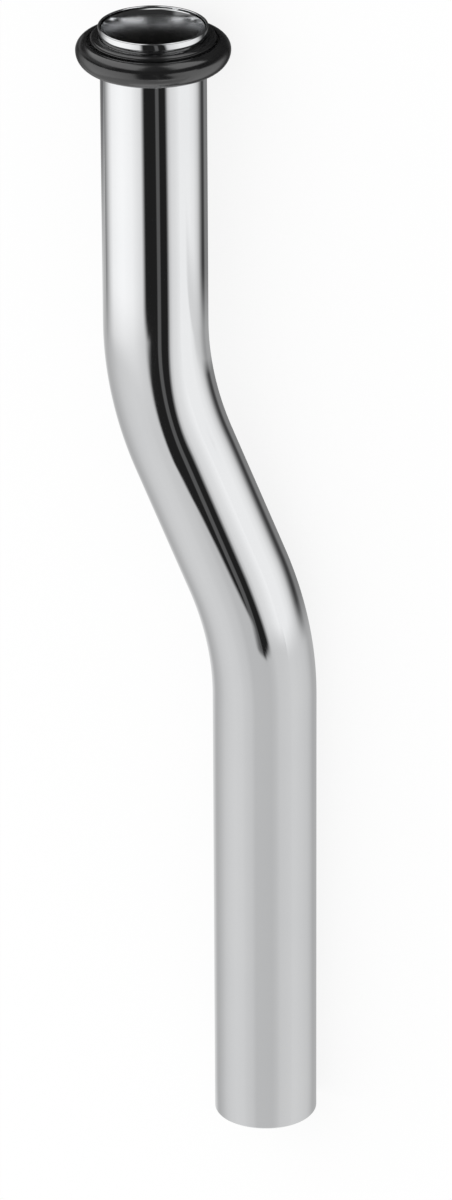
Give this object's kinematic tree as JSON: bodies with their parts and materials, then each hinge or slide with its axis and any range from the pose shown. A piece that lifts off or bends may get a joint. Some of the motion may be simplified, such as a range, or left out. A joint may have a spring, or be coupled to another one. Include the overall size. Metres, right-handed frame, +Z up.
{
  "type": "urinal flush pipe",
  "caption": "Slim bent flush pipe with an offset between its two straights, a lipped inlet with a rubber seal behind the lip, and a plain outlet spigot.",
  "frame": {"origin": "on the surface that the part lies on, under the centre of its bounding box", "axes": "+X along both straights towards the lipped mouth, +Z up from the surface it lies on; the upper straight is offset towards +Y"},
  "size_m": [0.202, 0.0416, 0.0262],
  "materials": {
    "chrome_plate": "polished chrome plate on brass tube",
    "seal_rubber": "moulded black rubber with a smooth sheen"
  },
  "bodies": {
    "root": {"flush_pipe": "chrome_plate", "seal_ring": "seal_rubber"}
  },
  "joints": []
}
